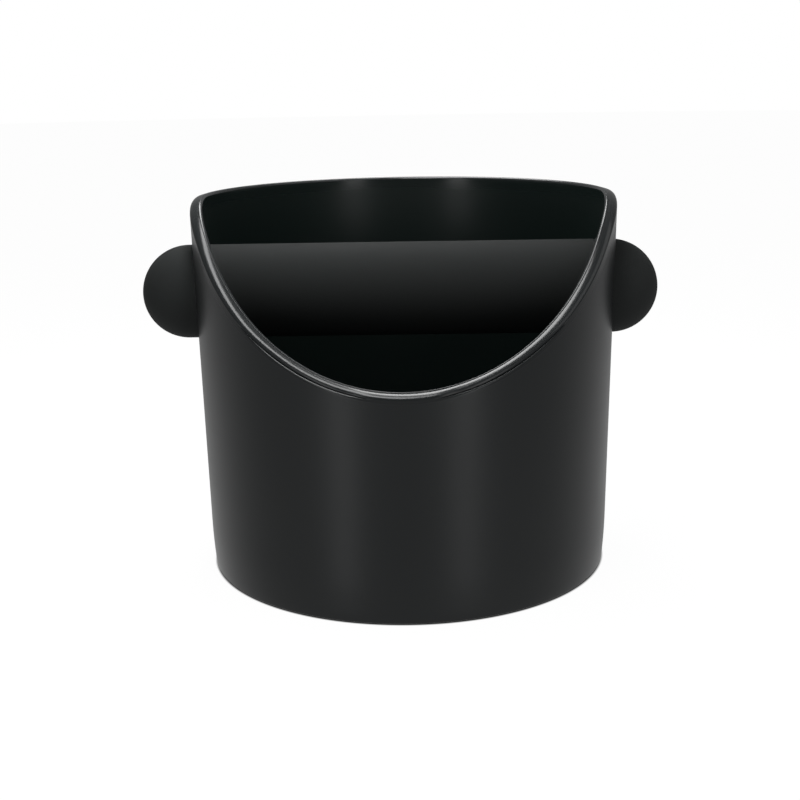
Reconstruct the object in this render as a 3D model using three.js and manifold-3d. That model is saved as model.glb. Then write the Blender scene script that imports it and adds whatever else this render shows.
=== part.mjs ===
// Espresso knock box: a moulded bucket with a scooped front and a removable padded knock bar.
// Millimetres, +Z up. The origin is on the table under the bucket's axis, the scoop faces -Y
// and the bar runs along X.
import * as THREE from "three";
import { mergeVertices } from "three/addons/utils/BufferGeometryUtils.js";
import Module from "manifold-3d";

const wasm = await Module();
wasm.setup();

// Driving dimensions.
const height = 100; // table to the flat back rim
const footRadius = 54; // of the straight wall, carried down to the table
const rimRadius = 57.2; // of the straight wall at the back rim
const wall = 3.3;
const floorThickness = 3;
const floorCorner = 6; // inside radius between floor and wall
const standOff = 0.15; // the moulding's foot clears the table by this
const tuckHeight = 12; // the wall tucks in below this height
const tuckDepth = 0.5; // and is this much narrower at the foot
const footEdge = 0.4; // rounding under the foot
const lipCrest = 1; // from the inner wall to the top of the crowned lip
const lipOuterFall = 1.5; // the crown meets the outer wall this far down
const lipInnerFall = 0.8;

const scoopStart = 5.9; // the rim is flat behind this Y
const shoulderRadius = 42.3; // the rim's side view then turns down
const shoulderTurn = THREE.MathUtils.degToRad(44);
const frontHeight = 57.6; // and eases out again to the front lip at this height

const barRadius = 12.7;
const barLength = 140;
const barHeight = 73.8;
const barOffset = -1.4; // where the bar is pushed to at rest
const holeClearance = 0.25;
const capBack = 53.2; // from the bar's middle to the back face of an end cap
const sleeveBore = 8.2;
const tubeRadius = 8;
const tubeBore = 6.5;
const tubeHalf = 60.2;
const partGap = 0.3;
const edgeBreak = 0.4; // on the tube, the sleeve and the backs of the caps

const plugStem = 6.2;
const plugStemLength = 14;
const plugLeadIn = 1.2; // the stem's tip is this much thinner
const plugLeadInLength = 2;
const plugHead = 9.2;
const plugHeadThickness = 2;
const plugHeadEdge = 0.5;

const padRadius = 46.6;
const padThickness = 2.2;
const padGrooves = [24, 38];
const padGrooveWidth = 1.2;
const padGrooveDepth = 0.6;
const padEdge = 0.5;

const bucketSegments = 80;
const barSegments = 40;
const padSegments = 60;
const wallSteps = 4;
const roundSteps = 3;
const crownSteps = 5;
const domeSteps = 8;

const point = (radius, along) => new THREE.Vector2(radius, along);

// Points on an arc about a centre, both ends included; a rise other than the radius makes it
// part of an ellipse.
function arc(centreRadius, centreAlong, radius, from, to, steps, rise = radius) {
  const points = [];
  for (let i = 0; i <= steps; i++) {
    const angle = from + ((to - from) * i) / steps;
    points.push(
      point(centreRadius + radius * Math.cos(angle), centreAlong + rise * Math.sin(angle)),
    );
  }
  return points;
}

// Lathe turned about Z.
function turned(profile, segments) {
  return new THREE.LatheGeometry(profile, segments).rotateX(Math.PI / 2);
}

// Lathe turned about X: a profile point is (radius, X).
function turnedAlongX(profile) {
  return new THREE.LatheGeometry(profile, barSegments).rotateZ(-Math.PI / 2);
}

function solid(geometry) {
  const bare = geometry.clone();
  bare.deleteAttribute("normal");
  bare.deleteAttribute("uv");
  const merged = mergeVertices(bare, 1e-4);
  const mesh = new wasm.Mesh({
    numProp: 3,
    vertProperties: merged.attributes.position.array,
    triVerts: new Uint32Array(merged.index.array),
  });
  return new wasm.Manifold(mesh);
}

function geometryOf(manifold) {
  const mesh = manifold.getMesh();
  const geometry = new THREE.BufferGeometry();
  geometry.setAttribute("position", new THREE.BufferAttribute(mesh.vertProperties, 3));
  geometry.setIndex(new THREE.BufferAttribute(mesh.triVerts, 1));
  geometry.computeVertexNormals();
  return geometry;
}

function named(name, geometry, material) {
  const mesh = new THREE.Mesh(geometry, material);
  mesh.name = name;
  return mesh;
}

const mouldedPlastic = () =>
  new THREE.MeshStandardMaterial({ color: 0x26282a, roughness: 0.42, metalness: 0 });
const softRubber = () =>
  new THREE.MeshStandardMaterial({ color: 0x232427, roughness: 0.7, metalness: 0 });
const stainlessSteel = () =>
  new THREE.MeshStandardMaterial({ color: 0xb8babd, roughness: 0.3, metalness: 1 });
const nylon = () => new THREE.MeshStandardMaterial({ color: 0x3a3b3d, roughness: 0.5, metalness: 0 });

// Height of the rim where it passes the given Y: flat, then a shoulder, then a hollow sweep
// that leaves the shoulder in line with it and ends at the front lip.
const lipRadius = rimRadius - wall / 2;
const shoulderEndY = scoopStart - shoulderRadius * Math.sin(shoulderTurn);
const shoulderEndZ = height - shoulderRadius * (1 - Math.cos(shoulderTurn));
const sweepRun = lipRadius + shoulderEndY;
const sweepDrop = shoulderEndZ - frontHeight;
const sweepEase = shoulderTurn - Math.atan2(sweepDrop, sweepRun);
const sweepRadius = Math.hypot(sweepRun, sweepDrop) / (2 * Math.sin(sweepEase));
const sweepCentreY = shoulderEndY - sweepRadius * Math.sin(shoulderTurn);
const sweepCentreZ = shoulderEndZ + sweepRadius * Math.cos(shoulderTurn);
function rimHeight(y) {
  if (y >= scoopStart) return height;
  if (y >= shoulderEndY) {
    const run = scoopStart - y;
    return height - shoulderRadius + Math.sqrt(shoulderRadius ** 2 - run ** 2);
  }
  return sweepCentreZ - Math.sqrt(sweepRadius ** 2 - (y - sweepCentreY) ** 2);
}

const outerRadius = (z) => footRadius + ((rimRadius - footRadius) * z) / height;
const innerRadius = (z) => outerRadius(z) - wall;

// The bucket's section in the half plane at one angle, from the underside's middle, out, up
// over the lip and down to the middle of the floor inside.
function bucketSection(top) {
  const recessTop = padThickness + partGap;
  const floorTop = recessTop + floorThickness;
  const recessRadius = padRadius + partGap;
  const tuckRadius = (tuckHeight ** 2 + tuckDepth ** 2) / (2 * tuckDepth);
  const footCorner = outerRadius(0) - tuckDepth - footEdge;
  const footLean = -Math.asin(tuckHeight / tuckRadius);
  const section = [
    point(0, recessTop),
    point(recessRadius, recessTop),
    point(recessRadius, standOff),
    ...arc(footCorner, standOff + footEdge, footEdge, -Math.PI / 2, footLean, roundSteps),
  ];
  for (let i = 1; i <= wallSteps; i++) {
    const z = standOff + footEdge + ((tuckHeight - standOff - footEdge) * i) / wallSteps;
    const tuck = tuckRadius - Math.sqrt(tuckRadius ** 2 - (tuckHeight - z) ** 2);
    section.push(point(outerRadius(z) - tuck, z));
  }
  const outerTop = top - lipOuterFall;
  for (let i = 1; i < wallSteps; i++) {
    const z = tuckHeight + ((outerTop - tuckHeight) * i) / wallSteps;
    section.push(point(outerRadius(z), z));
  }
  const crest = innerRadius(top) + lipCrest;
  const outerReach = outerRadius(outerTop) - crest;
  section.push(...arc(crest, outerTop, outerReach, 0, Math.PI / 2, crownSteps, lipOuterFall));
  const innerTop = top - lipInnerFall;
  const innerReach = crest - innerRadius(innerTop);
  const innerCrown = arc(crest, innerTop, innerReach, Math.PI / 2, Math.PI, roundSteps, lipInnerFall);
  section.push(...innerCrown.slice(1));
  const cornerZ = floorTop + floorCorner;
  for (let i = 1; i < wallSteps; i++) {
    const z = innerTop + ((cornerZ - innerTop) * i) / wallSteps;
    section.push(point(innerRadius(z), z));
  }
  const cornerRadius = innerRadius(cornerZ) - floorCorner;
  section.push(...arc(cornerRadius, cornerZ, floorCorner, 0, -Math.PI / 2, roundSteps));
  section.push(point(0, floorTop));
  return section;
}

// A turned pot whose every section is redrawn to the rim height at its own angle.
function scoopedPot() {
  const lathe = new THREE.LatheGeometry(bucketSection(height), bucketSegments);
  const position = lathe.attributes.position;
  const sectionLength = position.count / (bucketSegments + 1);
  for (let i = 0; i <= bucketSegments; i++) {
    const angle = (2 * Math.PI * (i % bucketSegments)) / bucketSegments;
    const section = bucketSection(rimHeight(-lipRadius * Math.cos(angle)));
    section.forEach((p, j) => {
      const index = i * sectionLength + j;
      position.setXYZ(index, p.x * Math.sin(angle), p.y, p.x * Math.cos(angle));
    });
  }
  return lathe.rotateX(Math.PI / 2);
}

function bucket() {
  const bore = new THREE.CylinderGeometry(
    barRadius + holeClearance,
    barRadius + holeClearance,
    barLength,
    barSegments,
  );
  bore.rotateZ(-Math.PI / 2).translate(0, 0, barHeight);
  return named("bucket", geometryOf(solid(scoopedPot()).subtract(solid(bore))), mouldedPlastic());
}

// Rubber pad pressed into the recess under the bucket, with ring grooves in its tread.
function basePad() {
  const section = [point(0, 0)];
  for (const radius of padGrooves) {
    section.push(
      point(radius, 0),
      point(radius, padGrooveDepth),
      point(radius + padGrooveWidth, padGrooveDepth),
      point(radius + padGrooveWidth, 0),
    );
  }
  section.push(...arc(padRadius - padEdge, padEdge, padEdge, -Math.PI / 2, 0, roundSteps));
  section.push(point(padRadius, padThickness), point(0, padThickness));
  return named("base_pad", turned(section, padSegments), softRubber());
}

// A round tube along X, centred, with its four edges broken.
function tube(outer, inner, half) {
  return turnedAlongX([
    point(inner + edgeBreak, -half),
    point(outer - edgeBreak, -half),
    point(outer, -half + edgeBreak),
    point(outer, half - edgeBreak),
    point(outer - edgeBreak, half),
    point(inner + edgeBreak, half),
    point(inner, half - edgeBreak),
    point(inner, -half + edgeBreak),
    point(inner + edgeBreak, -half),
  ]);
}

// Rubber dome that closes one end of the bar: a pocket for the tube and a groove for the plug.
function endCap(name, side) {
  const domeCentre = barLength / 2 - barRadius;
  const pocket = tubeRadius + partGap;
  const grooveStart = tubeHalf + partGap;
  const grooveEnd = grooveStart + plugHeadThickness + 2 * partGap;
  const section = [
    point(0, grooveEnd),
    point(plugHead + partGap, grooveEnd),
    point(plugHead + partGap, grooveStart - partGap),
    point(pocket, grooveStart - partGap),
    point(pocket, capBack),
    point(barRadius - edgeBreak, capBack),
    point(barRadius, capBack + edgeBreak),
    ...arc(0, domeCentre, barRadius, 0, Math.PI / 2, domeSteps),
  ];
  return sided(named(name, turnedAlongX(section), softRubber()), side);
}

// Rigid plug: a round head moulded into the cap and a stem that presses into the tube.
function capPlug(name, side) {
  const headStart = tubeHalf + partGap;
  const headEnd = headStart + plugHeadThickness;
  const stemTip = headStart - plugStemLength;
  const section = [
    point(0, stemTip),
    point(plugStem - plugLeadIn, stemTip),
    point(plugStem, stemTip + plugLeadInLength),
    point(plugStem, headStart),
    point(plugHead, headStart),
    point(plugHead, headEnd - plugHeadEdge),
    point(plugHead - plugHeadEdge, headEnd),
    point(0, headEnd),
  ];
  return sided(named(name, turnedAlongX(section), nylon()), side);
}

// The left-hand copy is the same piece turned half a turn about Z.
function sided(mesh, side) {
  if (side < 0) mesh.rotation.z = Math.PI;
  return mesh;
}

const bar = new THREE.Group();
bar.position.set(barOffset, 0, barHeight);
bar.add(
  named("core_tube", tube(tubeRadius, tubeBore, tubeHalf), stainlessSteel()),
  named("knock_sleeve", tube(barRadius, sleeveBore, capBack - partGap), softRubber()),
  endCap("end_cap_left", -1),
  endCap("end_cap_right", 1),
  capPlug("cap_plug_left", -1),
  capPlug("cap_plug_right", 1),
);

const knockBox = new THREE.Group();
knockBox.add(bucket(), basePad(), bar);

export default knockBox;
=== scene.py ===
"""Looks of the espresso knock box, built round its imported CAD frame. Metres, +Z up."""

import math

import bpy
from mathutils import Matrix, Vector


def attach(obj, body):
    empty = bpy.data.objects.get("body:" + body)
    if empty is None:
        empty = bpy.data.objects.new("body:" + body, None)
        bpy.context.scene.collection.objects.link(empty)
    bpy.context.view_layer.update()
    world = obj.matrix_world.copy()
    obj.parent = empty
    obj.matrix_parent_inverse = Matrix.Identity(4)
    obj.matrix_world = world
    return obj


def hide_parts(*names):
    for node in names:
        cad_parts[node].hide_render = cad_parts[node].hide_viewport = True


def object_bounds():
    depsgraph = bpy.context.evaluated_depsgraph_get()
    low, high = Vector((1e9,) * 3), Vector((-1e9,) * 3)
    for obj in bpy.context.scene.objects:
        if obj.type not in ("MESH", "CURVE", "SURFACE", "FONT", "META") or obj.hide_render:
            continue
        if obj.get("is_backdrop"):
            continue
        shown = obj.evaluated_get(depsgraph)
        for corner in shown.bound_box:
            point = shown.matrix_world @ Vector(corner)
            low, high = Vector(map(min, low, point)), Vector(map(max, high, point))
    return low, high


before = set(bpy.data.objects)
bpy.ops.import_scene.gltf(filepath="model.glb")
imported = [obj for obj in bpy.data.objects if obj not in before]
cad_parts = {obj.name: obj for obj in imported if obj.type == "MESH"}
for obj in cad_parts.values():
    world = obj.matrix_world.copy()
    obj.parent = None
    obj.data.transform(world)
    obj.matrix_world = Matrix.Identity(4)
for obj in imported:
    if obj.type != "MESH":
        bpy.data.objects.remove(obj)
cad_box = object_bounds()

MM = 0.001

# ---------------------------------------------------------------- sizes, as in the CAD (mm)
HEIGHT = 100.0
FOOT_RADIUS = 54.0
RIM_RADIUS = 57.2
WALL = 3.3
FLOOR_THICKNESS = 3.0
FLOOR_CORNER = 6.0
STAND_OFF = 0.15
TUCK_HEIGHT = 12.0
TUCK_DEPTH = 0.5
FOOT_EDGE = 0.4
LIP_CREST = 1.0
LIP_OUTER_FALL = 1.5
LIP_INNER_FALL = 0.8

SCOOP_START = 5.9
SHOULDER_RADIUS = 42.3
SHOULDER_TURN = math.radians(44)
FRONT_HEIGHT = 57.6

BAR_RADIUS = 12.7
BAR_LENGTH = 140.0
BAR_HEIGHT = 73.8
BAR_OFFSET = -1.4
HOLE_RADIUS = BAR_RADIUS + 0.25
CAP_BACK = 53.2
SLEEVE_BORE = 8.2
TUBE_RADIUS = 8.0
TUBE_BORE = 6.5
TUBE_HALF = 60.2
GAP = 0.3
PLUG_STEM = 6.2
PLUG_STEM_LENGTH = 14.0
PLUG_HEAD = 9.2
PLUG_HEAD_THICKNESS = 2.0
PAD_RADIUS = 46.6
PAD_THICKNESS = 2.2
PAD_GROOVES = (24.0, 38.0)
PAD_GROOVE_WIDTH = 1.2
PAD_GROOVE_DEPTH = 0.6
PAD_EDGE = 0.5
PAD_EASE = 0.15
RECESS_EASE = 0.3
SLEEVE_EDGE = 0.4
TUBE_EDGE = 0.3
CAP_EDGE = 0.4
PLUG_TIP_EASE = 0.4
PLUG_TIP_STEP = 1.2
PLUG_TIP_TAPER = 2
PLUG_HEAD_UNDER_EDGE = 0.2
PLUG_HEAD_EDGE = 0.5

# ---------------------------------------------------------------- fineness of the meshes
COLUMNS = 360
BAR_SEGMENTS = 144
WALL_ROWS = 44
LOWER_ROWS = 22
ROUND_STEPS = 8
PATCH_HALF_COLUMNS = 16
PATCH_ROWS = (4, 36)
PATCH_RINGS = 7
WALL_SPLIT = 54.0
HOLE_FILLET = 0.35
CROWN_STEPS = 14
TUCK_ROWS = 10
HOLE_FILLET_STEPS = 5
BUCKET_MIDDLE = 6.0  # radius of the fan of faces in the middle of the bucket's two flat discs
PAD_MIDDLE = 12.0
POLISH_FADE = 3  # rows over which the lip's polish fades into the walls

# ---------------------------------------------------------------- fine lines of the moulding
RIDGE_STEP = 0.2  # the lip's inner ring stands this much above the rest of the crown
RIDGE_ROUND = 0.18
PARTING_ROUND = 0.45  # radius of the parting line's lower edge; the crown is set back by it too
PARTING_SLOT = 0.25  # height of the slot above that edge
PARTING_DEPTH = 1.3  # how far the slot reaches in from the wall
PARTING_EASE = 0.04  # how much the slot narrows towards its inner end
PARTING_SPAN = (8, 14, 33, 46)  # degrees from the front: it starts, is full, ebbs, and ends


# ---------------------------------------------------------------- profiles
def arc(centre, radius, start, end, steps, rise=None):
    """Points on an arc, both ends included; angles in degrees, and a rise makes it an ellipse."""
    points = []
    rise = rise or radius
    for i in range(steps + 1):
        a = math.radians(start + (end - start) * i / steps)
        points.append((centre[0] + radius * math.cos(a), centre[1] + rise * math.sin(a)))
    return points


def spread(start, end, steps):
    """Points strictly between two ends, and the far end."""
    return [
        (start[0] + (end[0] - start[0]) * i / steps, start[1] + (end[1] - start[1]) * i / steps)
        for i in range(1, steps + 1)
    ]


def outer_radius(z):
    return FOOT_RADIUS + (RIM_RADIUS - FOOT_RADIUS) * z / HEIGHT


def inner_radius(z):
    return outer_radius(z) - WALL


LIP_RADIUS = RIM_RADIUS - WALL / 2
SHOULDER_END_Y = SCOOP_START - SHOULDER_RADIUS * math.sin(SHOULDER_TURN)
SHOULDER_END_Z = HEIGHT - SHOULDER_RADIUS * (1 - math.cos(SHOULDER_TURN))
SWEEP_RUN = LIP_RADIUS + SHOULDER_END_Y
SWEEP_DROP = SHOULDER_END_Z - FRONT_HEIGHT
SWEEP_EASE = SHOULDER_TURN - math.atan2(SWEEP_DROP, SWEEP_RUN)
SWEEP_RADIUS = math.hypot(SWEEP_RUN, SWEEP_DROP) / (2 * math.sin(SWEEP_EASE))
SWEEP_CENTRE_Y = SHOULDER_END_Y - SWEEP_RADIUS * math.sin(SHOULDER_TURN)
SWEEP_CENTRE_Z = SHOULDER_END_Z + SWEEP_RADIUS * math.cos(SHOULDER_TURN)


def rim_height(y):
    """Height of the rim where it passes y: flat, a shoulder, then a hollow sweep."""
    if y >= SCOOP_START:
        return HEIGHT
    if y >= SHOULDER_END_Y:
        return HEIGHT - SHOULDER_RADIUS + math.sqrt(SHOULDER_RADIUS**2 - (SCOOP_START - y) ** 2)
    return SWEEP_CENTRE_Z - math.sqrt(SWEEP_RADIUS**2 - (y - SWEEP_CENTRE_Y) ** 2)


# ---------------------------------------------------------------- mesh helpers
def new_object(name, vertices, faces, sharp=35):
    mesh = bpy.data.meshes.new(name)
    mesh.from_pydata([tuple(c * MM for c in v) for v in vertices], [], faces)
    mesh.validate()
    mesh.polygons.foreach_set("use_smooth", [True] * len(mesh.polygons))
    mesh.set_sharp_from_angle(angle=math.radians(sharp))
    piece = bpy.data.objects.new(name, mesh)
    bpy.context.scene.collection.objects.link(piece)
    return piece


def lathe(name, profile, segments, place, closed=False, sharp=35):
    """A profile of (radius, along) turned about an axis; place(radius, along, angle) gives xyz."""
    vertices, faces, rings = [], [], []
    for radius, along in profile:
        if radius < 1e-9:
            rings.append([len(vertices)])
            vertices.append(place(0, along, 0))
            continue
        rings.append(list(range(len(vertices), len(vertices) + segments)))
        for i in range(segments):
            vertices.append(place(radius, along, 2 * math.pi * i / segments))
    pairs = list(zip(rings, rings[1:]))
    if closed:
        pairs.append((rings[-1], rings[0]))
    for a, b in pairs:
        for i in range(segments):
            k = (i + 1) % segments
            if len(a) == 1:
                faces.append((a[0], b[k], b[i]))
            elif len(b) == 1:
                faces.append((a[i], a[k], b[0]))
            else:
                faces.append((a[i], a[k], b[k], b[i]))
    return new_object(name, vertices, faces, sharp)


def about_z(radius, along, angle):
    return (radius * math.sin(angle), -radius * math.cos(angle), along)


def along_bar(side):
    """Places a lathe along the bar; side -1 is the left-hand copy, turned half a turn about Z."""

    def place(radius, along, angle):
        x = BAR_OFFSET + side * along
        y = side * radius * math.sin(angle)
        return (x, y, BAR_HEIGHT + radius * math.cos(angle))

    return place


# ---------------------------------------------------------------- bucket
def parting_profile(radius, z):
    """The line's rounded lower edge and its slot, from the wall below it to the set-back crown."""
    slot_floor = z + PARTING_ROUND
    slot_roof = slot_floor + PARTING_SLOT - PARTING_EASE
    s = arc((radius - PARTING_ROUND, z), PARTING_ROUND, 0, 90, 6)[1:]
    return s + [(radius - PARTING_DEPTH, slot_floor), (radius - PARTING_DEPTH, slot_roof)]


def parting_strength(angle):
    """How deep the parting line is, 0 to 1, at an angle in radians from the front."""
    away = abs((math.degrees(angle) + 180) % 360 - 180)
    start, full, ebb, end = PARTING_SPAN
    rise = min(max((away - start) / (full - start), 0), 1)
    fall = min(max((end - away) / (end - ebb), 0), 1)
    return rise**2 * (3 - 2 * rise) * fall**2 * (3 - 2 * fall)


def bucket_section(top, strength):
    """Section from the underside's middle round to the floor's middle, and its marks."""
    recess_top = PAD_THICKNESS + GAP
    recess_radius = PAD_RADIUS + GAP
    floor_top = recess_top + FLOOR_THICKNESS
    tuck_radius = (TUCK_HEIGHT**2 + TUCK_DEPTH**2) / (2 * TUCK_DEPTH)
    lean = math.degrees(math.asin(TUCK_HEIGHT / tuck_radius))
    foot = outer_radius(0) - TUCK_DEPTH - FOOT_EDGE
    ease = RECESS_EASE
    s = [(BUCKET_MIDDLE, recess_top)]
    s += spread((BUCKET_MIDDLE, recess_top), (recess_radius - ease, recess_top), 6)
    s += arc((recess_radius - ease, recess_top - ease), ease, 90, 0, 3)[1:]
    s += [(recess_radius, STAND_OFF + ease)]
    s += arc((recess_radius + ease, STAND_OFF + ease), ease, 180, 270, 3)[1:]
    s += [(foot, STAND_OFF)]
    s += arc((foot, STAND_OFF + FOOT_EDGE), FOOT_EDGE, -90, -lean, ROUND_STEPS)[1:]
    start = s[-1][1]
    for i in range(1, TUCK_ROWS + 1):
        z = start + (TUCK_HEIGHT - start) * i / TUCK_ROWS
        tuck = tuck_radius - math.sqrt(tuck_radius**2 - (TUCK_HEIGHT - z) ** 2)
        s.append((outer_radius(z) - tuck, z))
    for i in range(1, LOWER_ROWS + 1):
        z = TUCK_HEIGHT + (WALL_SPLIT - TUCK_HEIGHT) * i / LOWER_ROWS
        s.append((outer_radius(z), z))
    marks = {"outer_start": len(s) - 1}
    outer_top = top - LIP_OUTER_FALL
    parting = outer_top - PARTING_ROUND - PARTING_SLOT
    for i in range(1, WALL_ROWS + 1):
        z = WALL_SPLIT + (parting - WALL_SPLIT) * i / WALL_ROWS
        s.append((outer_radius(z), z))
    marks["lip_start"] = len(s) - 1
    for radius, z in parting_profile(outer_radius(parting), parting):
        s.append((outer_radius(z) + (radius - outer_radius(z)) * strength, z))
    crest = inner_radius(top) + LIP_CREST
    reach = outer_radius(outer_top) - PARTING_ROUND * strength - crest
    s += arc((crest, outer_top), reach, 0, 90, CROWN_STEPS, LIP_OUTER_FALL - RIDGE_STEP)
    ridge = (crest - RIDGE_ROUND, top - RIDGE_ROUND)
    s += arc(ridge, RIDGE_ROUND, 0, 90, 4)
    inner_top = top - LIP_INNER_FALL
    reach = ridge[0] - inner_radius(inner_top)
    s += arc((ridge[0], inner_top), reach, 90, 180, ROUND_STEPS, LIP_INNER_FALL)[1:]
    marks["lip_end"] = len(s) - 1
    for i in range(1, WALL_ROWS + 1):
        z = inner_top + (WALL_SPLIT - inner_top) * i / WALL_ROWS
        s.append((inner_radius(z), z))
    marks["inner_end"] = len(s) - 1
    corner_z = floor_top + FLOOR_CORNER
    for i in range(1, LOWER_ROWS + 1):
        z = WALL_SPLIT + (corner_z - WALL_SPLIT) * i / LOWER_ROWS
        s.append((inner_radius(z), z))
    corner = (inner_radius(corner_z) - FLOOR_CORNER, corner_z)
    s += arc(corner, FLOOR_CORNER, 0, -90, ROUND_STEPS)[1:]
    s += spread((corner[0], floor_top), (BUCKET_MIDDLE, floor_top), 8)
    return s, marks


def bucket_mesh():
    """One closed grid of columns and section rows, with a round hole through each side wall."""
    vertices, faces = [], []
    columns = []
    marks = None
    for i in range(COLUMNS):
        angle = 2 * math.pi * i / COLUMNS
        top = rim_height(-LIP_RADIUS * math.cos(angle))
        section, marks = bucket_section(top, parting_strength(angle))
        columns.append(range(len(vertices), len(vertices) + len(section)))
        vertices += [about_z(r, z, angle) for r, z in section]
    rows = len(columns[0])
    outer_rows = [marks["outer_start"] + r for r in PATCH_ROWS]
    inner_rows = [marks["inner_end"] - r for r in reversed(PATCH_ROWS)]
    middles = (COLUMNS // 4, 3 * COLUMNS // 4)
    inner_extras = []

    def cut(i, j):
        in_rows = any(a <= j < b for a, b in (outer_rows, inner_rows))
        near = any(m - PATCH_HALF_COLUMNS <= i < m + PATCH_HALF_COLUMNS for m in middles)
        return in_rows and near

    for i in range(COLUMNS):
        a, b = columns[i], columns[(i + 1) % COLUMNS]
        for j in range(rows - 1):
            if not cut(i, j):
                faces.append((a[j], b[j], b[j + 1], a[j + 1]))
    for j, along in ((0, PAD_THICKNESS + GAP), (rows - 1, PAD_THICKNESS + GAP + FLOOR_THICKNESS)):
        pole = len(vertices)
        vertices.append((0, 0, along))
        if j > 0:
            inner_extras.append(pole)
        for i in range(COLUMNS):
            pair = (columns[i][j], columns[(i + 1) % COLUMNS][j])
            faces.append((pole, pair[1], pair[0]) if j == 0 else (pole, pair[0], pair[1]))

    def loop_of(middle, first, last, rising):
        """The patch's boundary vertices, the same way round inside and out."""
        low, high = middle - PATCH_HALF_COLUMNS, middle + PATCH_HALF_COLUMNS
        bottom, top = (first, last) if rising else (last, first)
        step = 1 if rising else -1
        loop = [columns[i][bottom] for i in range(low, high)]
        loop += [columns[high][j] for j in range(bottom, top, step)]
        loop += [columns[i][top] for i in range(high, low, -1)]
        loop += [columns[low][j] for j in range(top, bottom, -step)]
        return loop

    def surface_x(side, y, z, radius_at):
        return side * math.sqrt(radius_at(z) ** 2 - y * y)

    for middle, side in zip(middles, (1, -1)):
        outer_loop = loop_of(middle, *outer_rows, True)
        inner_loop = loop_of(middle, *inner_rows, False)
        turn = [math.atan2(vertices[v][2] - BAR_HEIGHT, vertices[v][1]) for v in outer_loop]
        rings = []

        def add_ring(points):
            start = len(vertices)
            vertices.extend(points)
            rings.append(list(range(start, start + len(points))))

        def on_circle(radius, depth, radius_at):
            points = []
            for a in turn:
                y, z = radius * math.cos(a), BAR_HEIGHT + radius * math.sin(a)
                points.append((surface_x(side, y, z, radius_at) + side * depth, y, z))
            return points

        def blend_rings(loop, radius_at):
            made = []
            for k in range(1, PATCH_RINGS + 1):
                t = k / PATCH_RINGS
                points = []
                for v, a in zip(loop, turn):
                    edge_y, edge_z = vertices[v][1], vertices[v][2]
                    reach = HOLE_RADIUS + HOLE_FILLET
                    y = edge_y + (reach * math.cos(a) - edge_y) * t
                    z = edge_z + (BAR_HEIGHT + reach * math.sin(a) - edge_z) * t
                    points.append((surface_x(side, y, z, radius_at), y, z))
                made.append(points)
            return made

        rings.append(outer_loop)
        for points in blend_rings(outer_loop, outer_radius):
            add_ring(points)
        for k in range(1, HOLE_FILLET_STEPS + 1):
            a = math.pi / 2 * k / HOLE_FILLET_STEPS
            radius = HOLE_RADIUS + HOLE_FILLET * (1 - math.sin(a))
            add_ring(on_circle(radius, -HOLE_FILLET * (1 - math.cos(a)), outer_radius))
        for k in range(HOLE_FILLET_STEPS, 0, -1):
            a = math.pi / 2 * k / HOLE_FILLET_STEPS
            radius = HOLE_RADIUS + HOLE_FILLET * (1 - math.sin(a))
            add_ring(on_circle(radius, HOLE_FILLET * (1 - math.cos(a)), inner_radius))
        for points in reversed(blend_rings(inner_loop, inner_radius)):
            add_ring(points)
        rings.append(inner_loop)
        count = len(outer_loop)
        for ring in rings[1 + PATCH_RINGS + HOLE_FILLET_STEPS : -1]:
            inner_extras += ring
        for a, b in zip(rings, rings[1:]):
            for i in range(count):
                k = (i + 1) % count
                faces.append((a[i], a[k], b[k], b[i]))
    return vertices, faces, columns, marks, inner_extras


def make_bucket():
    vertices, faces, columns, marks, inner_extras = bucket_mesh()
    piece = new_object("bucket_shell", vertices, faces, sharp=60)
    polish = piece.data.attributes.new("polish", "FLOAT", "POINT")
    # the inside attribute marks where the painted shade of the hollow bucket goes
    inside = piece.data.attributes.new("inside", "FLOAT", "POINT")
    for column in columns:
        for j in range(marks["lip_start"] - POLISH_FADE, marks["lip_end"] + POLISH_FADE + 1):
            short = max(marks["lip_start"] - j, j - marks["lip_end"], 0)
            polish.data[column[j]].value = 1 - short / (POLISH_FADE + 1)
        for j in range(marks["lip_end"], len(column)):
            inside.data[column[j]].value = 1.0
    for vertex in inner_extras:
        inside.data[vertex].value = 1.0
    return piece


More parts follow.
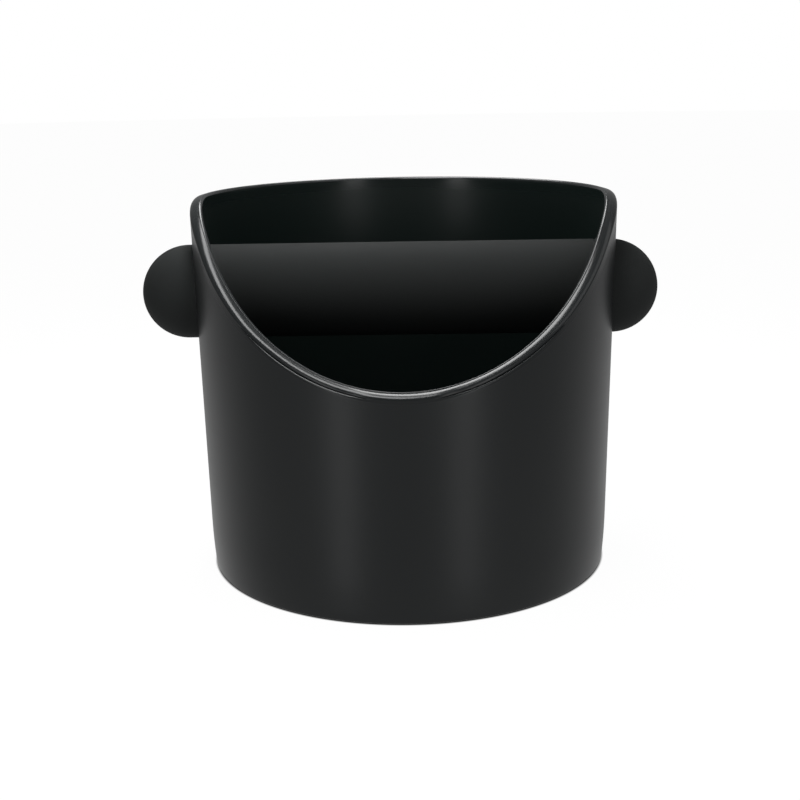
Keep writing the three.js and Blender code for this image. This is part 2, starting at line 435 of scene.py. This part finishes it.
# ---------------------------------------------------------------- materials
class Nodes:
    """A material's node tree, with short calls to add and link nodes."""

    def __init__(self, name):
        self.material = bpy.data.materials.new(name)
        self.material.use_nodes = True
        self.tree = self.material.node_tree
        self.shader = self.tree.nodes["Principled BSDF"]
        self.place = self.add("ShaderNodeTexCoord").outputs["Object"]

    def add(self, kind, **settings):
        node = self.tree.nodes.new(kind)
        for key, value in settings.items():
            setattr(node, key, value)
        return node

    def put(self, socket, value):
        if isinstance(value, bpy.types.NodeSocket):
            self.tree.links.new(value, socket)
        else:
            socket.default_value = value

    def noise(self, scale, detail=3.0, roughness=0.5, place=None):
        node = self.add("ShaderNodeTexNoise")
        self.put(node.inputs["Vector"], place or self.place)
        node.inputs["Scale"].default_value = scale
        node.inputs["Detail"].default_value = detail
        node.inputs["Roughness"].default_value = roughness
        return node.outputs["Fac"]

    def math(self, operation, a, b=0.0, clamp=False):
        node = self.add("ShaderNodeMath", operation=operation, use_clamp=clamp)
        self.put(node.inputs[0], a)
        self.put(node.inputs[1], b)
        return node.outputs[0]

    def span(self, value, low, high, to_low, to_high):
        node = self.add("ShaderNodeMapRange")
        for key, v in zip(("Value", "From Min", "From Max", "To Min", "To Max"),
                          (value, low, high, to_low, to_high)):
            self.put(node.inputs[key], v)
        return node.outputs[0]

    def mix(self, factor, a, b):
        node = self.add("ShaderNodeMix", data_type="RGBA")
        self.put(node.inputs[0], factor)
        self.put(node.inputs[6], a)
        self.put(node.inputs[7], b)
        return node.outputs[2]

    def attribute(self, name):
        return self.add("ShaderNodeAttribute", attribute_name=name).outputs["Fac"]

    def stretched(self, scale):
        node = self.add("ShaderNodeMapping")
        self.put(node.inputs["Vector"], self.place)
        node.inputs["Scale"].default_value = scale
        return node.outputs[0]

    def specks(self, scale, share, size):
        """1 on sparse small dots, 0 elsewhere."""
        node = self.add("ShaderNodeTexVoronoi")
        self.put(node.inputs["Vector"], self.place)
        node.inputs["Scale"].default_value = scale
        chosen = self.add("ShaderNodeSeparateColor")
        self.put(chosen.inputs[0], node.outputs["Color"])
        some = self.math("LESS_THAN", chosen.outputs[0], share)
        near = self.math("LESS_THAN", node.outputs["Distance"], size)
        return self.math("MULTIPLY", some, near)

    def bump(self, layers):
        """Layers of (height, distance in metres, strength), each over the one before."""
        normal = None
        for height, distance, strength in layers:
            node = self.add("ShaderNodeBump")
            node.inputs["Strength"].default_value = strength
            node.inputs["Distance"].default_value = distance
            self.put(node.inputs["Height"], height)
            if normal is not None:
                self.put(node.inputs["Normal"], normal)
            normal = node.outputs[0]
        self.put(self.shader.inputs["Normal"], normal)

    def set(self, **values):
        names = {"colour": "Base Color", "roughness": "Roughness", "metallic": "Metallic",
                 "specular": "Specular IOR Level", "anisotropic": "Anisotropic"}
        for key, value in values.items():
            self.put(self.shader.inputs[names[key]], value)
        return self.material


CLOUD_SPAN = (0.3, 0.7)  # the part of a noise's range that its clouds fill
PLASTIC_DARK = (0.0235, 0.0265, 0.0275, 1.0)
PLASTIC_LIGHT = (0.0275, 0.0305, 0.0315, 1.0)
# painted shade: the inside of the bucket gets a darker, greener colour than the outside, standing
# in for the shade in its hollow
INSIDE_PAINTED_SHADE = (0.0085, 0.0145, 0.0132, 1.0)
PLASTIC_ROUGHNESS = (0.31, 0.35)
SCUFF_SPAN = (0.55, 0.8)
SCUFF_ROUGHNESS = (0.0, 0.04)
LIP_GLOSS = -0.15  # added to the roughness where the lip is polished
DUST_ON_PLASTIC = 0.1
RUBBER_TINT = (0.96, 1.04, 1.03)
RUBBER_ROUGHNESS = (0.72, 0.8)
DUST_ON_RUBBER = 0.09
BAR_RUBBER = (0.0265, 0.031)
# painted light: the end caps get a lighter copy of the bar's rubber, standing in for the light that
# reaches the domes
CAP_RUBBER_PAINTED_LIGHT = (0.038, 0.044)
PAD_RUBBER = (0.02, 0.027)
STEEL = (0.55, 0.63)
STEEL_COOLNESS = 0.01
STEEL_ROUGHNESS = (0.24, 0.38)
NYLON = (0.045, 0.06)
NYLON_ROUGHNESS = (0.45, 0.55)


def grey(value, cool=0.0):
    return (value * (1 - cool), value, value * (1 + cool), 1.0)


def rubber_shade(value):
    return (*(value * tint for tint in RUBBER_TINT), 1.0)


def moulded_plastic():
    n = Nodes("moulded_plastic_satin")
    grain = n.noise(scale=2600, detail=2)
    cloud = n.noise(scale=28, detail=4)
    scuff = n.noise(scale=9, detail=5, roughness=0.65, place=n.stretched((1, 1, 6)))
    polish = n.attribute("polish")
    inside = n.attribute("inside")
    colour = n.mix(cloud, PLASTIC_DARK, PLASTIC_LIGHT)
    # painted shade: the inside surfaces take the darker colour of the hollow's shade
    colour = n.mix(inside, colour, INSIDE_PAINTED_SHADE)
    colour = n.mix(n.specks(scale=330, share=0.006, size=0.06), colour, grey(DUST_ON_PLASTIC))
    clouded = n.span(cloud, *CLOUD_SPAN, *PLASTIC_ROUGHNESS)
    matt = n.math("ADD", clouded, n.span(scuff, *SCUFF_SPAN, *SCUFF_ROUGHNESS))
    roughness = n.math("ADD", matt, n.math("MULTIPLY", polish, LIP_GLOSS))
    n.bump([(n.noise(scale=60, detail=2), 0.0004, 0.05), (grain, 0.00004, 0.25)])
    return n.set(colour=colour, roughness=roughness, specular=0.5)


def rubber(name, low, high):
    n = Nodes(name)
    grain = n.noise(scale=3200, detail=2)
    cloud = n.noise(scale=40, detail=4)
    colour = n.mix(cloud, rubber_shade(low), rubber_shade(high))
    colour = n.mix(n.specks(scale=260, share=0.01, size=0.06), colour, grey(DUST_ON_RUBBER))
    n.bump([(n.noise(scale=90, detail=3), 0.0003, 0.08), (grain, 0.00005, 0.4)])
    roughness = n.span(cloud, *CLOUD_SPAN, *RUBBER_ROUGHNESS)
    return n.set(colour=colour, roughness=roughness, specular=0.15)


def brushed_steel():
    n = Nodes("stainless_tube")
    turned = n.noise(scale=900, detail=4, roughness=0.6, place=n.stretched((0.02, 1, 1)))
    dark, light = (grey(level, STEEL_COOLNESS) for level in STEEL)
    colour = n.mix(n.noise(scale=60), dark, light)
    n.bump([(turned, 0.00003, 0.5)])
    roughness = n.span(turned, 0.35, 0.65, *STEEL_ROUGHNESS)
    return n.set(colour=colour, roughness=roughness, metallic=1.0, anisotropic=0.5)


def nylon():
    n = Nodes("nylon_plug")
    cloud = n.noise(scale=150, detail=3)
    dark, light = (grey(level) for level in NYLON)
    colour = n.mix(cloud, dark, light)
    n.bump([(n.noise(scale=2400, detail=2), 0.00004, 0.35)])
    roughness = n.span(cloud, *CLOUD_SPAN, *NYLON_ROUGHNESS)
    return n.set(colour=colour, roughness=roughness, specular=0.45)


def dress(piece, material, body, slot, *nodes):
    piece.data.materials.append(material)
    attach(piece, body)
    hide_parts(*nodes)


# ---------------------------------------------------------------- pieces
plastic = moulded_plastic()
bar_rubber = rubber("bar_rubber_matt", *BAR_RUBBER)
# painted light: a lighter copy of the bar's rubber for the end caps
cap_rubber_painted_light = rubber("cap_rubber_painted_light_matt", *CAP_RUBBER_PAINTED_LIGHT)
pad_rubber = rubber("pad_rubber_matt", *PAD_RUBBER)
steel = brushed_steel()
plug_nylon = nylon()

dress(make_bucket(), plastic, "bin", "moulded_plastic", "bucket")


def pad_profile():
    ease, edge = PAD_EASE, PAD_EDGE
    s = [(0.0, 0.0), (PAD_MIDDLE, 0.0)]
    for radius in PAD_GROOVES:
        far = radius + PAD_GROOVE_WIDTH
        s += arc((radius - ease, ease), ease, -90, 0, 3)
        s += [(radius, PAD_GROOVE_DEPTH), (far, PAD_GROOVE_DEPTH)]
        s += arc((far + ease, ease), ease, 180, 270, 3)
    s += arc((PAD_RADIUS - edge, edge), edge, -90, 0, 6)
    s += arc((PAD_RADIUS - ease, PAD_THICKNESS - ease), ease, 0, 90, 3)
    return s + [(PAD_MIDDLE, PAD_THICKNESS), (0.0, PAD_THICKNESS)]


dress(lathe("base_pad_tread", pad_profile(), 240, about_z), pad_rubber, "bin", "pad_rubber",
      "base_pad")


def tube_profile(outer, inner, half, edge):
    s = arc((outer - edge, -half + edge), edge, -90, 0, 4)
    s += spread(s[-1], (outer, half - edge), 24)
    s += arc((outer - edge, half - edge), edge, 0, 90, 4)[1:]
    s += arc((inner + edge, half - edge), edge, 90, 180, 4)
    s += arc((inner + edge, -half + edge), edge, 180, 270, 4)
    return s


dress(
    lathe("knock_sleeve_rubber", tube_profile(BAR_RADIUS, SLEEVE_BORE, CAP_BACK - GAP, SLEEVE_EDGE),
          BAR_SEGMENTS, along_bar(1), closed=True),
    bar_rubber, "bar_cover", "bar_rubber", "knock_sleeve",
)
dress(
    lathe("core_tube_steel", tube_profile(TUBE_RADIUS, TUBE_BORE, TUBE_HALF, TUBE_EDGE),
          BAR_SEGMENTS, along_bar(1), closed=True),
    steel, "bar_core", "stainless", "core_tube",
)


def cap_profile():
    dome = BAR_LENGTH / 2 - BAR_RADIUS
    pocket = TUBE_RADIUS + GAP
    groove_start = TUBE_HALF + GAP
    groove_end = groove_start + PLUG_HEAD_THICKNESS + 2 * GAP
    edge = CAP_EDGE
    s = [(0.0, groove_end), (PLUG_HEAD + GAP, groove_end)]
    s += [(PLUG_HEAD + GAP, groove_start - GAP), (pocket, groove_start - GAP)]
    s += [(pocket, CAP_BACK + edge)]
    s += arc((pocket + edge, CAP_BACK + edge), edge, 180, 270, 4)[1:]
    s += arc((BAR_RADIUS - edge, CAP_BACK + edge), edge, 270, 360, 4)
    return s + arc((0.0, dome), BAR_RADIUS, 0, 90, 40)[:-1] + [(0.0, BAR_LENGTH / 2)]


def plug_profile():
    head = TUBE_HALF + GAP
    end = head + PLUG_HEAD_THICKNESS
    tip = head - PLUG_STEM_LENGTH
    nose = PLUG_STEM - PLUG_TIP_STEP
    under, edge = PLUG_HEAD_UNDER_EDGE, PLUG_HEAD_EDGE
    s = [(0.0, tip), (nose - PLUG_TIP_EASE, tip), (nose, tip + PLUG_TIP_EASE)]
    s += [(PLUG_STEM, tip + PLUG_TIP_TAPER), (PLUG_STEM, head)]
    s += arc((PLUG_HEAD - under, head + under), under, -90, 0, 3)
    return s + arc((PLUG_HEAD - edge, end - edge), edge, 0, 90, 4) + [(0.0, end)]


for word, side in (("left", -1), ("right", 1)):
    body = f"{word}_end"
    cap = lathe(f"end_cap_{word}_dome", cap_profile(), BAR_SEGMENTS, along_bar(side))
    # the caps wear the lighter copy of the bar's rubber: painted light
    dress(cap, cap_rubber_painted_light, body, "bar_rubber", f"end_cap_{word}")
    plug = lathe(f"cap_plug_{word}_nylon", plug_profile(), BAR_SEGMENTS, along_bar(side))
    dress(plug, plug_nylon, body, "nylon", f"cap_plug_{word}")

# ---------------------------------------------------------------- camera
CAMERA_PLACE = Vector((0.00534, -0.35529, 0.13144))
CAMERA_HEADING = math.radians(1.026)
CAMERA_PITCH = math.radians(8.863)
CAMERA_ROLL = math.radians(-0.989)
CAMERA_LENS = 59.336
CAMERA_SHIFT = (-0.00095, -0.15)


def make_camera():
    camera = bpy.data.objects.new("camera", bpy.data.cameras.new("camera"))
    bpy.context.scene.collection.objects.link(camera)
    turn = Matrix.Rotation(CAMERA_HEADING, 4, "Z")
    tilt = Matrix.Rotation(math.pi / 2 - CAMERA_PITCH, 4, "X")
    roll = Matrix.Rotation(CAMERA_ROLL, 4, "Z")
    camera.matrix_world = Matrix.Translation(CAMERA_PLACE) @ turn @ tilt @ roll
    camera.data.lens = CAMERA_LENS
    camera.data.shift_x, camera.data.shift_y = CAMERA_SHIFT
    camera.data.clip_start = 0.01
    bpy.context.scene.camera = camera


make_camera()

# ---------------------------------------------------------------- studio
OVERHEAD_HEIGHT = 0.28
OVERHEAD_RADIANCE = 6.5
OVERHEAD_BOXES = {  # left, right, front and back edges of the softboxes above
    "overhead_main": (-0.065, -0.011, -0.16, 0.24),
    "overhead_front": (-0.011, 0.008, -0.18, -0.055),
    "overhead_back": (-0.011, 0.014, 0.07, 0.26),
}
STRIP_DISTANCE = 1.3
STRIP_MIDDLE = 0.27
STRIP_SIZE = (0.27, 1.76)
STRIP_RADIANCE = 1.1
STRIP_DEGREES = {"left": -34, "right": 31.5}  # either side of the front
FILL_PLACE = (0.38, -0.1, 0.55)
FILL_TARGET = (0, 0, 0.07)
FILL_SIZE = 0.45
FILL_RADIANCE = 0.6
AROUND_LIGHT = ((0.0, 0.235), (0.5, 0.27), (0.72, 0.45), (1.0, 0.68))  # from front to back
UPWARD_LIGHT = (  # from straight below to straight above
    (0.0, 1.2),
    (0.34, 1.02),
    (0.42, 0.6),
    (0.5, 0.5),
    (0.6, 0.4),
    (0.8, 0.36),
)
FLOOR_RADII = (0.0, 200.0, 1000.0, 4000.0)  # mm
FLOOR_SEGMENTS = 96
FLOOR_GLOW = 0.97
FLOOR_DIFFUSE = 0.08
BACKDROP_STEPS = 48
CONTACT_RADII = (0.0533, 0.054)  # the floor is black inside the first, plain outside the second


def only_for_camera(piece):
    """The surroundings stay white to the eye without lighting the object."""
    for kind in ("diffuse", "glossy", "transmission", "volume_scatter", "shadow"):
        setattr(piece, f"visible_{kind}", False)
    piece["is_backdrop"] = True


def softbox(name, place, target, width, height, radiance):
    data = bpy.data.lights.new(name, "AREA")
    data.shape = "RECTANGLE"
    data.size, data.size_y = width, height
    data.energy = math.pi * width * height * radiance
    light = bpy.data.objects.new(name, data)
    bpy.context.scene.collection.objects.link(light)
    light.location = place
    light.rotation_mode = "QUATERNION"
    light.rotation_quaternion = (Vector(target) - Vector(place)).to_track_quat("-Z", "Y")
    light.visible_camera = False


for word, (left, right, front, back) in OVERHEAD_BOXES.items():
    place = ((left + right) / 2, (front + back) / 2, OVERHEAD_HEIGHT)
    softbox(word, place, (place[0], place[1], 0.0), right - left, back - front, OVERHEAD_RADIANCE)
for word, degrees in STRIP_DEGREES.items():
    angle = math.radians(degrees)
    x, y = math.sin(angle) * STRIP_DISTANCE, -math.cos(angle) * STRIP_DISTANCE
    target = (0, 0, STRIP_MIDDLE)
    softbox(f"strip_{word}", (x, y, STRIP_MIDDLE), target, *STRIP_SIZE, STRIP_RADIANCE)
softbox("fill_right", FILL_PLACE, FILL_TARGET, FILL_SIZE, FILL_SIZE, FILL_RADIANCE)


def ramp_node(tree, value, stops):
    """A grey ramp over a value from -1 to 1."""
    half = tree.nodes.new("ShaderNodeMapRange")
    half.inputs["From Min"].default_value = -1.0
    ramp = tree.nodes.new("ShaderNodeValToRGB")
    tree.links.new(value, half.inputs["Value"])
    tree.links.new(half.outputs[0], ramp.inputs[0])
    while len(ramp.color_ramp.elements) < len(stops):
        ramp.color_ramp.elements.new(0.5)
    for element, (position, level) in zip(ramp.color_ramp.elements, stops):
        element.position = position
        element.color = grey(level)
    return ramp.outputs[0]


def make_world():
    """Dim in front of the object and brightest behind it, and dimmer above than below."""
    world = bpy.data.worlds.new("studio")
    bpy.context.scene.world = world
    world.use_nodes = True
    tree = world.node_tree
    place = tree.nodes.new("ShaderNodeTexCoord")
    parts = tree.nodes.new("ShaderNodeSeparateXYZ")
    tree.links.new(place.outputs["Generated"], parts.inputs[0])
    product = tree.nodes.new("ShaderNodeMix")
    product.data_type = "RGBA"
    product.blend_type = "MULTIPLY"
    product.inputs[0].default_value = 1.0
    tree.links.new(ramp_node(tree, parts.outputs["Y"], AROUND_LIGHT), product.inputs[6])
    tree.links.new(ramp_node(tree, parts.outputs["Z"], UPWARD_LIGHT), product.inputs[7])
    tree.links.new(product.outputs[2], tree.nodes["Background"].inputs[0])


make_world()


def glow_material(name, glow, diffuse):
    """A plain surface that gives white of its own and takes soft shadows on top."""
    material = bpy.data.materials.new(name)
    material.use_nodes = True
    shader = material.node_tree.nodes["Principled BSDF"]
    shader.inputs["Base Color"].default_value = grey(diffuse)
    shader.inputs["Roughness"].default_value = 1.0
    shader.inputs["Specular IOR Level"].default_value = 0.0
    shader.inputs["Emission Color"].default_value = grey(1.0)
    shader.inputs["Emission Strength"].default_value = glow
    return material


def add_contact_shade(material):
    """The floor darkens where the foot nearly touches it."""
    tree = material.node_tree
    place = tree.nodes.new("ShaderNodeTexCoord")
    length = tree.nodes.new("ShaderNodeVectorMath")
    length.operation = "LENGTH"
    tree.links.new(place.outputs["Object"], length.inputs[0])
    fade = tree.nodes.new("ShaderNodeMapRange")
    limits = (*CONTACT_RADII, 0.0, FLOOR_GLOW)
    for key, value in zip(("From Min", "From Max", "To Min", "To Max"), limits):
        fade.inputs[key].default_value = value
    tree.links.new(length.outputs["Value"], fade.inputs["Value"])
    shader = tree.nodes["Principled BSDF"]
    tree.links.new(fade.outputs[0], shader.inputs["Emission Strength"])


floor = lathe("floor", [(radius, 0.0) for radius in FLOOR_RADII], FLOOR_SEGMENTS, about_z)
floor_white = glow_material("floor_white", FLOOR_GLOW, FLOOR_DIFFUSE)
add_contact_shade(floor_white)
floor.data.materials.append(floor_white)
only_for_camera(floor)
sky = arc((0.0, 0.0), FLOOR_RADII[-1], -90, 90, BACKDROP_STEPS)[1:-1]
dome = lathe("backdrop", sky, FLOOR_SEGMENTS, about_z)
dome.data.materials.append(glow_material("backdrop_white", 1.0, 0.0))
only_for_camera(dome)

bpy.context.scene.view_settings.view_transform = "Standard"

boxes = {"cad": cad_box, "visual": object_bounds()}
{k: [list(c) for c in v] for k, v in boxes.items()}
